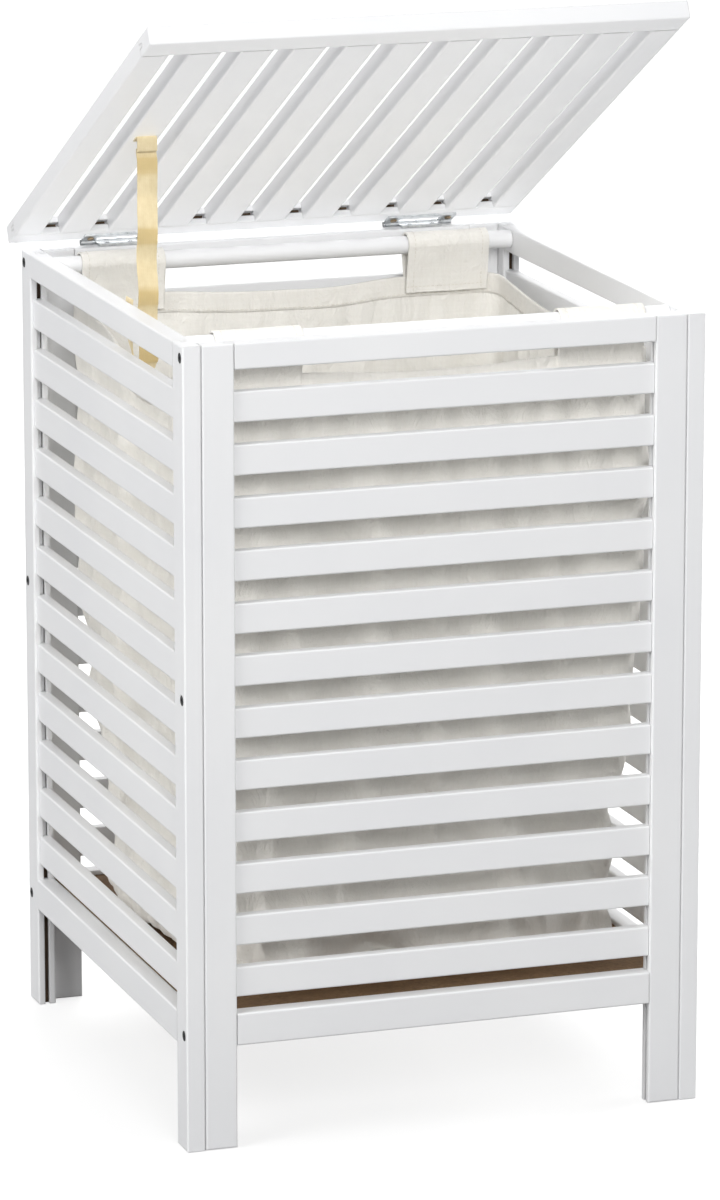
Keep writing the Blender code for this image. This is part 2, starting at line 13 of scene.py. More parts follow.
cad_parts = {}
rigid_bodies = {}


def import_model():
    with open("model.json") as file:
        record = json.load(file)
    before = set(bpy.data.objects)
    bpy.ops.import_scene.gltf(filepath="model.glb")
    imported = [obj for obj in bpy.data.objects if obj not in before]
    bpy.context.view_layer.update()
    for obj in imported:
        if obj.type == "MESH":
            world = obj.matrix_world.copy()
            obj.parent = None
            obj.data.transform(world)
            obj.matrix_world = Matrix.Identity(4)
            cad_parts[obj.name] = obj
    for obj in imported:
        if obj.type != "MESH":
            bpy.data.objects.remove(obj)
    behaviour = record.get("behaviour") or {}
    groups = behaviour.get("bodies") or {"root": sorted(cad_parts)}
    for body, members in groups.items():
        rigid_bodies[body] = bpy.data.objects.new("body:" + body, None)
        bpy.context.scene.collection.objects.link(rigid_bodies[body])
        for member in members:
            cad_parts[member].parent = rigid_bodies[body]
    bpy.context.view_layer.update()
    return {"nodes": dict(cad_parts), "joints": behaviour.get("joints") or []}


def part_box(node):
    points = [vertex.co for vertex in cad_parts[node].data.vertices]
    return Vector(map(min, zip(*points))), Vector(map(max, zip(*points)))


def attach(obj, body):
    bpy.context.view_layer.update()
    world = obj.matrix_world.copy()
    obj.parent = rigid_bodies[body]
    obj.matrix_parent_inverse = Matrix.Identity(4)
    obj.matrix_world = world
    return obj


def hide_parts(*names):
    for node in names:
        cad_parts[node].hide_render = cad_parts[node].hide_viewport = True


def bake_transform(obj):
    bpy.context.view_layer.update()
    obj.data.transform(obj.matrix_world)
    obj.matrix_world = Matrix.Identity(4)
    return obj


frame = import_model()
NODES = frame["nodes"]

# ---- measures taken from the frame --------------------------------------------------------------
LEFT_LOW, LEFT_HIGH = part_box("left_slats")
RIGHT_LOW, RIGHT_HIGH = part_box("right_slats")
FRONT_LOW, FRONT_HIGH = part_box("front_slats")
BACK_LOW, BACK_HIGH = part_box("back_slats")
STILE_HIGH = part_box("left_stile_front")[1]
TOP = STILE_HIGH.z
WALL_IN = STILE_HIGH.x                      # inner face of the left frame
X_MID = (LEFT_LOW.x + RIGHT_HIGH.x) / 2
Y_MID = (FRONT_LOW.y + BACK_HIGH.y) / 2
MIDDLE = Vector((X_MID, Y_MID, 0))
ROD_FRONT = sum(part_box("rod_front"), Vector()) / 2
ROD_BACK = sum(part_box("rod_back"), Vector()) / 2
ROD_R = (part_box("rod_back")[1].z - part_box("rod_back")[0].z) / 2
HALF_SPAN = (ROD_BACK.y - ROD_FRONT.y) / 2  # from the middle to either rod
BOARD_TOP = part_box("base_board")[1].z
BACK_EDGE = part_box("back_stile_left")[1].y
JOINT = frame["joints"][0]
PIN = Vector(JOINT["pos_m"])
LID_TILT = math.radians(JOINT["range_deg"][1])

# ---- frames and lid -----------------------------------------------------------------------------
SLATS = 12                                  # in each frame
SLAT_H = 0.024
GROOVE_W = 0.004
GROOVE_SEEN = 0.0044                        # depth of the groove above the strip in its bottom
# the near-black strip in each groove is bare wood with painted shade; these are its two faces
GROOVE_SHADE_LOW, GROOVE_SHADE_HIGH = 0.0002, 0.0006        # the bare wood's two faces, above that strip
LID_SLATS = 9
LID_REAR_RAIL = 0.020
LID_FRONT_RAIL = 0.026
LID_LENGTH = 0.455
LID_T = 0.015
LID_LIFT = 0.0017                           # underside of the closed lid above the hinge pin
LID_REAR = BACK_EDGE - PIN.y                # rear edge of the closed lid, from the hinge pin

# ---- liner --------------------------------------------------------------------------------------
TAB_X = 0.141                               # from the middle to a tab's own middle
TAB_HALF = 0.036
TAB_COLUMNS = 24
TAB_GAP = 0.0022                            # between a rod and the cloth around it
TAB_T = 0.0015
RIM_Z = 0.605                               # liner's rim at the tabs
HEM_H = 0.018
HEM_T = 0.0019
BAG_TOP_X = 0.1865                          # half widths at the rim and at the floor
BAG_LOW_X = 0.163
BAG_LOW_Y = 0.146
BAG_TAPER = 2.4                             # how late on its way down the wall narrows
BAG_COLUMNS = 176
BAG_ROWS = 58
BAG_RINGS = 12                              # rows of points across the floor
PIN_WEIGHTS = (1.0, 1.0, 0.6, 0.25)         # how firmly the first rows are held
CLOTH_T = 0.0010
STOP_T = 0.012                              # thickness of the unseen walls that the cloth meets
FALL_FRAMES = 24
FALL_CAP = 0.045                            # the furthest that a point of the cloth may move
CLOTH_SETTINGS = {
    "quality": 7,
    "mass": 0.12,
    "tension_stiffness": 18,
    "compression_stiffness": 10,
    "shear_stiffness": 6,
    "bending_stiffness": 0.06,
    "air_damping": 2.5,
    "tension_damping": 12,
    "compression_damping": 12,
    "vertex_group_mass": "pins",
    "vertex_group_shrink": "hem",
    "shrink_min": -0.065,
    "shrink_max": 0.0,
}
# size, seed and height of the soft waves and of the sharp creases
WAVES = ((0.046, 3.1, 0.0075), (0.020, 8.4, 0.0036))
CREASES = ((0.070, 11.3, 0.0085), (0.036, 17.9, 0.0055))

STITCH_PITCH = 0.0042
TAB_STITCH_PITCH = 0.0036
STITCH_SHARE = 0.62                         # part of the pitch that shows as thread
STITCH_R = 0.00028
SEAM_LIFT = 0.0008                          # thread above the middle of a tab's cloth

# ---- strap --------------------------------------------------------------------------------------
STRAP_HALF = 0.0082
STRAP_T = 0.0011
STRAP_COLUMNS = 8
STRAP_STEPS = 12
# where the strap was once folded, measured along it from its end under the lid
FOLDS = (0.034, 0.062, 0.090, 0.113, 0.139, 0.161, 0.186, 0.207)
FOLD_KINK = 0.0019

# ---- light and camera ---------------------------------------------------------------------------
WORLD_SOFT = 0.20                           # what the white surroundings add to every surface
FLOOR_SIZE = 14.0
FLOOR_GLOW = 0.765                          # near the hamper; the floor fades to white further out
FLOOR_NEAR, FLOOR_FAR = 0.30, 1.0
# name, place, point aimed at, diameter, watts
LIGHTS = (
    ("key_left", (-2.9, -1.1, 3.0), (0, 0, 0.45), 1.8, 68),
    ("low_left", (-3.2, -0.6, 0.6), (0, 0, 0.40), 1.8, 34),
    ("low_right", (3.2, 0.2, 0.9), (0, 0, 0.40), 1.8, 60),
    ("fill_front", (-0.4, -3.0, 1.9), (0, 0, 0.50), 1.4, 58),
    ("overhead", (0, 0, 3.0), (0, 0, 0.50), 2.4, 4),
    ("from_behind", (0.9, 2.4, 2.3), (0, 0, 0.70), 1.8, 42),
)
# the same, then the starts of the names it lights, and whether it shines past all the rest
CARDS = (
    ("card_into_opening", (X_MID - 0.1, -0.75, 0.95), (X_MID, 0.10, 0.70), 0.5, 0.7,
     ("liner_", "bag_tab_", "rod_", "back_rail_top"), False),
    ("card_beside_liner", (-3.0, -0.4, 1.0), (0, 0, 0.40), 1.2, 19, ("liner_bag",), True),
    ("card_under_lid", (-0.3, -0.8, -0.80), (0, -0.02, 0.75), 0.9, 14, ("lid_",), True),
)
SENSOR = 36.0
LENS = 189.8
CAMERA_PLACE = (X_MID - 1.6143, -4.7140, 1.5631)
CAMERA_AZIMUTH = math.radians(18.97)
CAMERA_DOWN = math.radians(13.40)

# ---- colours, linear ----------------------------------------------------------------------------
PAINT_LOW, PAINT_HIGH = (0.862, 0.867, 0.882), (0.892, 0.896, 0.904)
PAINT_OVER_FIGURE = (0.80, 0.795, 0.78)
PAINT_THIN = (0.76, 0.735, 0.69)
BOARD_DARK, BOARD_MID, BOARD_LIGHT = (0.12, 0.065, 0.028), (0.23, 0.135, 0.065), (0.36, 0.23, 0.12)
BOARD_PATCH = (0.24, 0.13, 0.06)
COTTON, COTTON_DEEP = (0.900, 0.880, 0.830), (0.876, 0.854, 0.800)
COTTON_PALE = (0.925, 0.910, 0.87)
HEM, HEM_DEEP = (0.895, 0.872, 0.820), (0.868, 0.843, 0.787)
TAPE_LOW, TAPE_HIGH = (0.80, 0.665, 0.40), (0.87, 0.745, 0.485)
TAPE_BETWEEN = (0.62, 0.45, 0.20)
# painted shade on one face of every other fold of the strap
TAPE_FOLD_SHADE = (0.68, 0.51, 0.22)
THREAD_LOW, THREAD_HIGH = (0.74, 0.70, 0.62), (0.86, 0.83, 0.76)
# bare wood in the bottom of a groove, darkened to stand for its painted shade
BARE_IN_SHADE_DARK, BARE_IN_SHADE_LIGHT = (0.030, 0.018, 0.010), (0.085, 0.052, 0.030)
STEEL_LIGHT, STEEL_DARK = (0.10, 0.10, 0.105), (0.03, 0.03, 0.03)
BRONZE_LIGHT, BRONZE_DARK = (0.42, 0.33, 0.22), (0.14, 0.10, 0.06)
ZINC_LIGHT, ZINC_DARK = (0.78, 0.80, 0.81), (0.58, 0.60, 0.62)
WHITE, BLACK = (1, 1, 1), (0, 0, 0)


# ---- node helpers -------------------------------------------------------------------------------
class Graph:
    """Short forms for building one material's node tree."""

    def __init__(self, name):
        self.mat = bpy.data.materials.new(name)
        self.mat.use_nodes = True
        self.nodes = self.mat.node_tree.nodes
        self.links = self.mat.node_tree.links
        self.shader = self.nodes["Principled BSDF"]

    def feed(self, socket, value):
        """Link a socket to another one, or give it a plain value."""
        if isinstance(value, bpy.types.NodeSocket):
            self.links.new(value, socket)
        else:
            socket.default_value = value

    def set(self, node, **values):
        for key, value in values.items():
            self.feed(node.inputs[key.replace("_", " ")], value)
        return node

    def add(self, kind, **values):
        return self.set(self.nodes.new("ShaderNode" + kind), **values)

    def place(self, scale, turn=(0, 0, 0)):
        """Object coordinates, turned first and then scaled."""
        where = self.add("TexCoord").outputs["Object"]
        if any(turn):
            where = self.add("Mapping", Vector=where, Rotation=turn).outputs["Vector"]
        return self.add("Mapping", Vector=where, Scale=scale).outputs["Vector"]

    def noise(self, where, detail=3.0, rough=0.55, warp=0.0):
        values = {"Scale": 1.0, "Detail": detail, "Roughness": rough, "Distortion": warp}
        return self.add("TexNoise", Vector=where, **values).outputs["Fac"]

    def ramp(self, value, *stops):
        node = self.add("ValToRGB", Fac=value)
        while len(node.color_ramp.elements) < len(stops):
            node.color_ramp.elements.new(0.5)
        for element, (at, colour) in zip(node.color_ramp.elements, stops):
            element.position = at
            element.color = (*colour, 1.0)
        return node.outputs["Color"]

    def math(self, operation, *values):
        node = self.nodes.new("ShaderNodeMath")
        node.operation = operation
        for socket, value in zip(node.inputs, values):
            self.feed(socket, value)
        return node.outputs[0]

    def vector_math(self, operation, *values):
        node = self.nodes.new("ShaderNodeVectorMath")
        node.operation = operation
        for socket, value in zip(node.inputs, values):
            self.feed(socket, value)
        return node.outputs["Value"]

    def stored(self, name):
        """A number kept on the points of the mesh."""
        node = self.nodes.new("ShaderNodeAttribute")
        node.attribute_name = name
        return node.outputs["Fac"]

    def ridges(self, value, pitch):
        """Round ridges along a distance: the absolute value of a sine."""
        return self.math("ABSOLUTE", self.math("SINE", self.math("MULTIPLY", value, math.pi / pitch)))

    def bevel(self, radius):
        """Normal with the edges rounded off."""
        node = self.add("Bevel", Radius=radius)
        node.samples = 4
        return node.outputs["Normal"]

    def spread(self, value, low, high):
        node = self.add("MapRange", Value=value)
        node.inputs["To Min"].default_value = low
        node.inputs["To Max"].default_value = high
        return node.outputs["Result"]

    def mix(self, factor, under, over):
        node = self.nodes.new("ShaderNodeMix")
        node.data_type = "RGBA"
        self.feed(node.inputs[0], factor)
        for socket, value in ((node.inputs[6], under), (node.inputs[7], over)):
            self.feed(socket, value if isinstance(value, bpy.types.NodeSocket) else (*value, 1.0))
        return node.outputs[2]

    def bump(self, height, strength, distance, normal=None):
        node = self.add("Bump", Height=height, Strength=strength, Distance=distance)
        if normal is not None:
            self.links.new(normal, node.inputs["Normal"])
        return node.outputs["Normal"]

    def finish(self, colour, roughness, normal, **plain):
        self.set(self.shader, Base_Color=colour, Roughness=roughness, Normal=normal, **plain)
        return self.mat


# ---- materials ----------------------------------------------------------------------------------
def painted_wood(name, along, turn=0.0, arris=0.0012):
    """White satin paint over planed wood: faint long grain, orange peel and softened, thinner edges."""
    g = Graph(name)
    rotation = (turn, 0, 0)
    grain_scale, figure_scale = [210.0] * 3, [34.0] * 3
    grain_scale["xyz".index(along)] = 5.0
    figure_scale["xyz".index(along)] = 2.2
    grain = g.noise(g.place(grain_scale, rotation), detail=4.0, rough=0.6, warp=0.3)
    figure = g.noise(g.place(figure_scale, rotation), detail=2.0, warp=0.8)
    patch = g.noise(g.place((9, 9, 9)), detail=2.0)
    peel = g.noise(g.place((620, 620, 620)), detail=1.0)
    rounded = g.bevel(arris)
    flat = g.add("NewGeometry").outputs["Normal"]
    edge = g.ramp(g.vector_math("DOT_PRODUCT", rounded, flat), (0.86, WHITE), (0.995, BLACK))
    paint = g.ramp(patch, (0.3, PAINT_LOW), (0.7, PAINT_HIGH))
    paint = g.mix(g.spread(figure, 0.0, 0.10), paint, PAINT_OVER_FIGURE)
    thin = g.math("MULTIPLY", edge, g.spread(grain, 0.05, 0.42))
    paint = g.mix(thin, paint, PAINT_THIN)
    normal = g.bump(peel, 0.10, 0.0003, rounded)
    normal = g.bump(grain, 0.16, 0.0003, normal)
    roughness = g.spread(grain, 0.36, 0.52)
    return g.finish(paint, roughness, normal, Coat_Weight=0.12, Coat_Roughness=0.25)


def hardboard(name):
    """Brown pressed fibre with soft darker patches."""
    g = Graph(name)
    fibre = g.noise(g.place((160, 160, 160)), detail=6.0, rough=0.7, warp=1.2)
    patch = g.noise(g.place((14, 22, 14)), detail=3.0)
    colour = g.ramp(fibre, (0.25, BOARD_DARK), (0.5, BOARD_MID), (0.75, BOARD_LIGHT))
    colour = g.mix(g.spread(patch, 0.0, 0.35), colour, BOARD_PATCH)
    return g.finish(colour, g.spread(fibre, 0.62, 0.85), g.bump(fibre, 0.4, 0.0004))


def threads(g, pitch):
    """Height of a plain weave: two crossing sets of threads that need no UVs."""
    parts = g.add("SeparateXYZ", Vector=g.place((1, 1, 1))).outputs
    weft = g.ridges(parts["Z"], pitch)
    warp = g.ridges(g.math("ADD", parts["X"], parts["Y"]), pitch)
    return g.math("MAXIMUM", weft, warp)


def cotton(name, tint, deep):
    """Unbleached plain-weave cotton: threads, slubs, a soft crease relief and a little sheen."""
    g = Graph(name)
    weave = threads(g, 0.0008)
    upright = g.noise(g.place((420, 420, 26)), detail=3.0, rough=0.6)
    level = g.noise(g.place((30, 30, 520)), detail=3.0, rough=0.6)
    slub = g.math("MULTIPLY", g.math("ADD", upright, level), 0.5)
    crease = g.noise(g.place((55, 55, 30)), detail=5.0, rough=0.62, warp=1.5)
    cloud = g.noise(g.place((7, 7, 5)), detail=2.0)
    brightest = tuple(min(1.0, c * 1.06) for c in tint)
    colour = g.ramp(slub, (0.34, deep), (0.56, tint), (0.75, brightest))
    colour = g.mix(g.spread(cloud, 0.0, 0.16), colour, COTTON_PALE)
    colour = g.mix(g.spread(weave, 0.10, 0.0), colour, deep)
    normal = g.bump(crease, 0.55, 0.0060)
    normal = g.bump(slub, 0.20, 0.0005, normal)
    normal = g.bump(weave, 0.35, 0.0003, normal)
    return g.finish(colour, g.spread(slub, 0.98, 0.86), normal, Sheen_Weight=0.25, Sheen_Roughness=0.45)


def webbing(name):
    """Golden woven tape with cross ribs; a stored painted shade darkens one face of every other fold."""
    g = Graph(name)
    rib = g.ridges(g.stored("tape_length"), 0.0011)
    wale = g.ridges(g.stored("tape_width"), 0.0016)
    weave = g.math("MAXIMUM", rib, g.math("MULTIPLY", wale, 0.9))
    fuzz = g.noise(g.place((260, 260, 140)), detail=4.0)
    colour = g.ramp(fuzz, (0.3, TAPE_LOW), (0.7, TAPE_HIGH))
    colour = g.mix(g.spread(weave, 0.16, 0.0), colour, TAPE_BETWEEN)
    # painted shade: one face of every other fold is darkened
    colour = g.mix(g.math("MULTIPLY", g.stored("fold_mark"), 0.75), colour, TAPE_FOLD_SHADE)
    normal = g.bump(weave, 0.45, 0.0004)
    normal = g.bump(fuzz, 0.2, 0.0006, normal)
    return g.finish(colour, g.spread(fuzz, 0.72, 0.9), normal, Sheen_Weight=0.3, Sheen_Roughness=0.4)


def metal(name, light, dark, rough, brush):
    """Plated or blackened metal with fine brushing and smudges."""
    g = Graph(name)
    line = g.noise(g.place(brush), detail=3.0)
    smudge = g.noise(g.place((190, 190, 190)), detail=4.0)
    colour = g.ramp(smudge, (0.32, dark), (0.62, light))
    normal = g.bump(line, 0.25, 0.0002, g.bevel(0.0003))
    roughness = g.math("ADD", g.spread(line, rough - 0.08, rough), g.spread(smudge, -0.04, 0.12))
    return g.finish(colour, roughness, normal, Metallic=1.0)


def thread_finish(name):
    """Off-white sewing thread with a fine twist."""
    g = Graph(name)
    twist = g.noise(g.place((1500, 1500, 1500)), detail=2.0)
    colour = g.ramp(twist, (0.3, THREAD_LOW), (0.7, THREAD_HIGH))
    return g.finish(colour, g.spread(twist, 0.7, 0.9), g.bump(twist, 0.4, 0.0002))


def bare_wood_in_shade(name):
    """Unpainted wood in the bottom of a groove, darkened to near black as painted shade of the groove: brown
    and fibrous.
    """
    g = Graph(name)
    fibre = g.noise(g.place((300, 300, 40)), detail=4.0)
    colour = g.ramp(fibre, (0.3, BARE_IN_SHADE_DARK), (0.7, BARE_IN_SHADE_LIGHT))
    return g.finish(colour, g.spread(fibre, 0.85, 0.95), g.bump(fibre, 0.5, 0.0005))


# ---- mesh helpers -------------------------------------------------------------------------------
def new_object(name, mesh, material=None):
    obj = bpy.data.objects.new(name, mesh)
    bpy.context.scene.collection.objects.link(obj)
    if material is not None:
        mesh.materials.append(material)
    return obj


def keep_mesh(name, bm, smooth=False):
    """Turn a finished bmesh into a mesh."""
    mesh = bpy.data.meshes.new(name)
    bm.to_mesh(mesh)
    bm.free()
    if smooth:
        mesh.shade_smooth()
    return mesh


def add_box(bm, low, high):
    size = [b - a for a, b in zip(low, high)]
    middle = [(a + b) / 2 for a, b in zip(low, high)]
    bmesh.ops.create_cube(bm, size=1.0, matrix=Matrix.Translation(middle) @ Matrix.Diagonal((*size, 1)))


def grid_object(name, rows, material, closed=False):
    """A sheet through rows of points; closed joins each row's last point to its first."""
    verts = [tuple(p) for row in rows for p in row]
    n = len(rows[0])
    faces = []
    for r in range(len(rows) - 1):
        for c in range(n if closed else n - 1):
            d = (c + 1) % n
            faces.append((r * n + c, r * n + d, (r + 1) * n + d, (r + 1) * n + c))
    mesh = bpy.data.meshes.new(name)
    mesh.from_pydata(verts, [], faces)
    mesh.update()
    mesh.shade_smooth()
    return new_object(name, mesh, material)


def thicken(obj, thickness):
    """Give a sheet its thickness, half of it on each side."""
    mod = obj.modifiers.new("thickness", "SOLIDIFY")
    mod.thickness = thickness
    mod.offset = 0.0
    mod.use_even_offset = False


def apply_modifiers(obj):
    graph = bpy.context.evaluated_depsgraph_get()
    mesh = bpy.data.meshes.new_from_object(obj.evaluated_get(graph))
    obj.modifiers.clear()
    obj.data = mesh


def refine(obj, levels):
    """Subdivide a sheet smoothly and keep the result."""
    mod = obj.modifiers.new("subdivision", "SUBSURF")
    mod.levels = levels
    mod.render_levels = levels
    apply_modifiers(obj)


def smooth_path(points, steps):
    """Catmull-Rom curve through points, with steps spans between each pair."""
    points = [Vector(p) for p in points]
    ends = [2 * points[0] - points[1]] + points + [2 * points[-1] - points[-2]]
    out = []
    for a, b, c, d in zip(ends, ends[1:], ends[2:], ends[3:]):
        for n in range(steps):
            t = n / steps
            square, cube = 2 * a - 5 * b + 4 * c - d, 3 * b - a - 3 * c + d
            out.append(0.5 * (2 * b + (c - a) * t + square * t * t + cube * t ** 3))
    out.append(points[-1])
    return out


def ease(t):
    t = max(0.0, min(1.0, t))
    return t * t * (3 - 2 * t)


def wobble(p, size, seed):
    """Smooth noise from -1 to 1 with bumps about that size, in metres."""
    return noise.noise(Vector(p) / size + Vector((seed, 2.7 * seed, -seed)))


def outward(p):
    """Level unit vector from the hamper's middle towards a point."""
    return (p - MIDDLE).to_2d().normalized().to_3d()


# ---- liner: its shape ---------------------------------------------------------------------------
def loose(x, y):
    """0 where a tab holds the rim of the liner, rising to 1 away from the tabs."""
    past_tab = max(0.0, abs(abs(x - X_MID) - TAB_X) - TAB_HALF)
    past_rod = max(0.0, HALF_SPAN - abs(y - Y_MID))
    return ease((past_tab + past_rod) / 0.045)


def rim_height(x, y):
    """The rim hangs from the tabs and sags between them; the slack strap lies over its left side."""
    free = loose(x, y)
    top = RIM_Z - free * (0.0006 + 0.0012 * wobble((x, y, 0), 0.060, 4.4))
    x -= X_MID
    y -= Y_MID
    along_rod = abs(y) > 0.93 * HALF_SPAN
    if along_rod:
        middle = max(0.0, 1 - abs(x) / (TAB_X - TAB_HALF))
        return top - 0.0042 * ease(middle * 1.2)
    spread = ease(1.4 * (1 - abs(y) / HALF_SPAN))
    if x > 0:
        return top - 0.010 * spread
    strap_dip = 0.027 * math.exp(-(((y + 0.030) / 0.075) ** 2))
    return top - 0.004 * spread - strap_dip


def rounded_square(t, radius, columns):
    """Point on a rounded square of half width 1 for column t; radius is the corner's share."""
    side = 2 * (1 - radius)
    arc = radius * math.pi / 2
    total = 4 * (side + arc)
    s = (t / columns) * total
    side_no = int(s // (side + arc)) % 4
    s -= side_no * (side + arc)
    if s <= side:
        p = Vector((1.0, -(1 - radius) + s))
    else:
        a = (s - side) / radius
        p = Vector((1 - radius + radius * math.cos(a), 1 - radius + radius * math.sin(a)))
    turn = side_no * math.pi / 2
    c, q = math.cos(turn), math.sin(turn)
    return Vector((p.x * c - p.y * q, p.x * q + p.y * c))


def bag_rows():
    """Rows of points from the rim down the walls and in across the floor of the liner."""
    floor = BOARD_TOP + 0.0016
    rows = []
    for r in range(BAG_ROWS + 1):
        v = r / BAG_ROWS
        taper = v ** BAG_TAPER
        half_x = BAG_TOP_X + (BAG_LOW_X - BAG_TOP_X) * taper
        half_y = HALF_SPAN + 0.001 + (BAG_LOW_Y - HALF_SPAN) * taper
        turn_in = ease((v - 0.93) / 0.07) * 0.020
        corner = 0.10 + 0.16 * taper
        row = []
        for c in range(BAG_COLUMNS):
            p = rounded_square(c, corner, BAG_COLUMNS)
            x = X_MID + p.x * (half_x - turn_in)
            y = Y_MID + p.y * (half_y - turn_in)
            top = rim_height(x, y)
            sway = 0.0032 * wobble((x, y, 0.3 * v), 0.060, 2.3) - 0.002
            sway *= loose(x, y) * (1 - ease(v / 0.3))
            x += p.x * sway
            y += p.y * sway
            row.append(Vector((x, y, top + (floor - top) * v)))
        rows.append(row)
    last = rows[-1]
    for k in range(1, BAG_RINGS + 1):
        share = 1 - k / (BAG_RINGS + 0.6)
        ring = []
        for p in last:
            ring.append(Vector((X_MID + (p.x - X_MID) * share, Y_MID + (p.y - Y_MID) * share, floor)))
        rows.append(ring)
    return rows


def close_floor(obj):
    """Fill the hole left in the middle of the liner's floor."""
    bm = bmesh.new()
    bm.from_mesh(obj.data)
    bm.verts.ensure_lookup_table()
    near_floor = min(vert.co.z for vert in bm.verts) + 0.004
    hole = [e for e in bm.edges if e.is_boundary and all(v.co.z < near_floor for v in e.verts)]
    filled = bmesh.ops.contextual_create(bm, geom=hole)["faces"]
    bmesh.ops.poke(bm, faces=filled)
    for face in bm.faces:
        face.smooth = True
    bm.to_mesh(obj.data)
    bm.free()


# ---- liner: how it hangs ------------------------------------------------------------------------
def collider(name, low, high):
    """An unseen box that stops the cloth while it falls."""
    bm = bmesh.new()
    add_box(bm, low, high)
    obj = new_object(name, keep_mesh(name, bm))
    mod = obj.modifiers.new("collision", "COLLISION")
    mod.settings.thickness_outer = 0.001
    mod.settings.cloth_friction = 12.0
    return obj


def hang_cloth(bag):
    """Let the liner sag from its tabs between the frames, then keep the result as its mesh."""
    left, right = LEFT_HIGH.x + 0.001, RIGHT_LOW.x - 0.001
    front, back = FRONT_HIGH.y + 0.001, BACK_LOW.y - 0.001
    foot = 0.1
    walls = [
        collider("floor_stop", (left, front, BOARD_TOP - 0.02), (right, back, BOARD_TOP)),
        collider("left_stop", (left - STOP_T, front, foot), (left, back, TOP)),
        collider("right_stop", (right, front, foot), (right + STOP_T, back, TOP)),
        collider("front_stop", (left, front - STOP_T, foot), (right, front, TOP)),
        collider("back_stop", (left, back, foot), (right, back + STOP_T, TOP)),
    ]
    pins = bag.vertex_groups.new(name="pins")
    for vert in bag.data.vertices:
        row = vert.index // BAG_COLUMNS
        if row < len(PIN_WEIGHTS):
            pins.add([vert.index], PIN_WEIGHTS[row], "REPLACE")
    firm = bag.vertex_groups.new(name="hem")
    for row in range(5):
        columns = list(range(row * BAG_COLUMNS, (row + 1) * BAG_COLUMNS))
        firm.add(columns, 1.0 - 0.2 * row, "REPLACE")
    mod = bag.modifiers.new("cloth", "CLOTH")
    for key, value in CLOTH_SETTINGS.items():
        setattr(mod.settings, key, value)
    mod.collision_settings.use_self_collision = False
    mod.collision_settings.distance_min = 0.0015
    mod.collision_settings.collision_quality = 3
    mod.point_cache.frame_start = 1
    mod.point_cache.frame_end = FALL_FRAMES
    scene = bpy.context.scene
    start = [vert.co.copy() for vert in bag.data.vertices]
    for step in range(1, FALL_FRAMES + 1):
        scene.frame_set(step)
    apply_modifiers(bag)
    scene.frame_set(1)
    for wall in walls:
        bpy.data.objects.remove(wall, do_unlink=True)
    for vert, home in zip(bag.data.vertices, start):
        moved = vert.co - home
        if moved.length > FALL_CAP:
            vert.co = home + moved * (FALL_CAP / moved.length)


def settle(obj, margin):
    """Keep every point of the cloth inside the frames and above the board."""
    for vert in obj.data.vertices:
        co = vert.co
        co.x = max(LEFT_HIGH.x + margin, min(RIGHT_LOW.x - margin, co.x))
        co.y = max(FRONT_HIGH.y + margin, min(BACK_LOW.y - margin, co.y))
        co.z = max(BOARD_TOP + margin, co.z)


def crumple(obj, rim):
    """Creases on top of the simulated folds, hardly any of them at the rim."""
    obj.data.update()
    moves = []
    for vert in obj.data.vertices:
        p = vert.co
        depth = ease((rim - p.z) / 0.09)
        low = ease((0.42 - p.z) / 0.28)
        lean = Vector((p.x + 0.40 * p.z, p.y + 0.30 * p.z, p.z * 0.38))
        amount = 0.0
        for size, seed, height in WAVES:
            amount += height * wobble(lean, size, seed)
        amount += 0.0075 * low * wobble(p, 0.052, 5.7)
        for size, seed, height in CREASES:
            ridge = 1 - abs(wobble(lean, size, seed)) * 3.2
            amount += height * (0.5 + 0.5 * low) * max(0.0, ridge) ** 2
        bulge = 0.012 * math.exp(-(((p.z - 0.19) / 0.07) ** 2))
        moves.append(vert.normal * (amount + bulge) * (0.05 + 0.95 * depth))
    for vert, move in zip(obj.data.vertices, moves):
        vert.co += move


# ---- liner: what is sewn to it ------------------------------------------------------------------
def add_stitch(bm, a, b):
    """One short thread from a to b, thin and six-sided."""
    axis = b - a
    spin = axis.to_track_quat("Z", "Y").to_matrix().to_4x4()
    place = Matrix.Translation((a + b) / 2) @ spin
    bmesh.ops.create_cone(
        bm, cap_ends=True, segments=6, radius1=STITCH_R, radius2=STITCH_R, depth=axis.length, matrix=place
    )


def point_at(line, runs, run):
    """Point of a line of points at that distance along it."""
    n = min(bisect.bisect_right(runs, run), len(line) - 1)
    return line[n - 1].lerp(line[n], (run - runs[n - 1]) / (runs[n] - runs[n - 1]))


def stitches(name, lines, material, pitch):
    """Rows of stitches that follow lines of points, one object."""
    bm = bmesh.new()
    for line in lines:
        runs = [0.0]
        for a, b in zip(line, line[1:]):
            runs.append(runs[-1] + (b - a).length)
        for n in range(int(runs[-1] / pitch)):
            add_stitch(bm, point_at(line, runs, n * pitch), point_at(line, runs, (n + STITCH_SHARE) * pitch))
    return new_object(name, keep_mesh(name, bm, smooth=True), material)


def make_hem(rows, cloth):
    """The band along the rim, a little outside the liner's own wall."""
    hem = grid_object("liner_hem", [[p + outward(p) * 0.0002 for p in row] for row in rows], cloth, closed=True)
    refine(hem, 2)
    thicken(hem, HEM_T)
    return hem


def hem_seams(rows):
    """Closed lines near the hem's lower edge, one outside and one inside."""
    seams = []
    for offset in (0.0013, -0.0011):
        line = []
        for upper, lower in zip(rows[1], rows[2]):
            p = upper.lerp(lower, 0.72)
            line.append(p + outward(p) * offset)
        line.append(line[0])
        seams.append(smooth_path(line, 2))
    return seams


